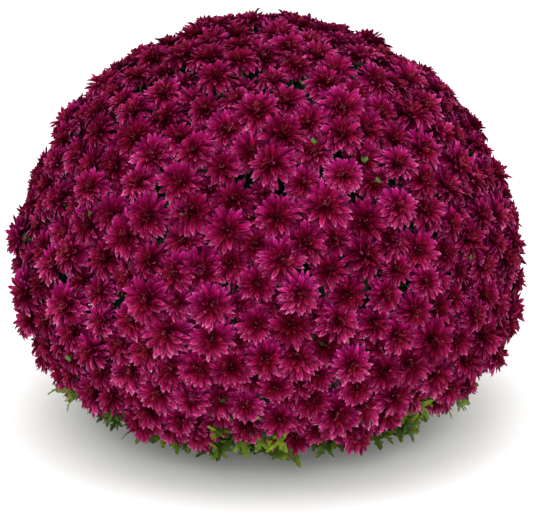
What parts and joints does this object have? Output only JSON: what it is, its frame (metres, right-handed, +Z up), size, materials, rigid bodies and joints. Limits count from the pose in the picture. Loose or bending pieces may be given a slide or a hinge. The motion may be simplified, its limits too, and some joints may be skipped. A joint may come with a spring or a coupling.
{
  "type": "potted chrysanthemum",
  "caption": "Garden chrysanthemum in a plain nursery pot: a dense dome of double wine-red blooms on branching stems, with lobed leaves round its skirt.",
  "frame": {"origin": "centre of the underside of the pot", "axes": "+Z up, -Y towards the side that the picture shows"},
  "size_m": [0.5989, 0.5892, 0.4745],
  "materials": {
    "blooms": "satin petals",
    "foliage": "matte leaf",
    "pot": "satin",
    "mix": "rough"
  },
  "bodies": {
    "root": {"bloom_spray_01": "blooms", "bloom_spray_02": "blooms", "bloom_spray_03": "blooms", "bloom_spray_04": "blooms", "bloom_spray_05": "blooms", "bloom_spray_06": "blooms", "bloom_spray_07": "blooms", "bloom_spray_08": "blooms", "bloom_spray_09": "blooms", "bloom_spray_10": "blooms", "bloom_spray_11": "blooms", "bloom_spray_12": "blooms", "bloom_spray_13": "blooms", "bloom_spray_14": "blooms", "bloom_spray_15": "blooms", "bloom_spray_16": "blooms", "bloom_spray_17": "blooms", "bloom_spray_18": "blooms", "bloom_spray_19": "blooms", "bloom_spray_20": "blooms", "stems_and_leaves": "foliage", "pot": "pot", "potting_mix": "mix"}
  },
  "joints": []
}
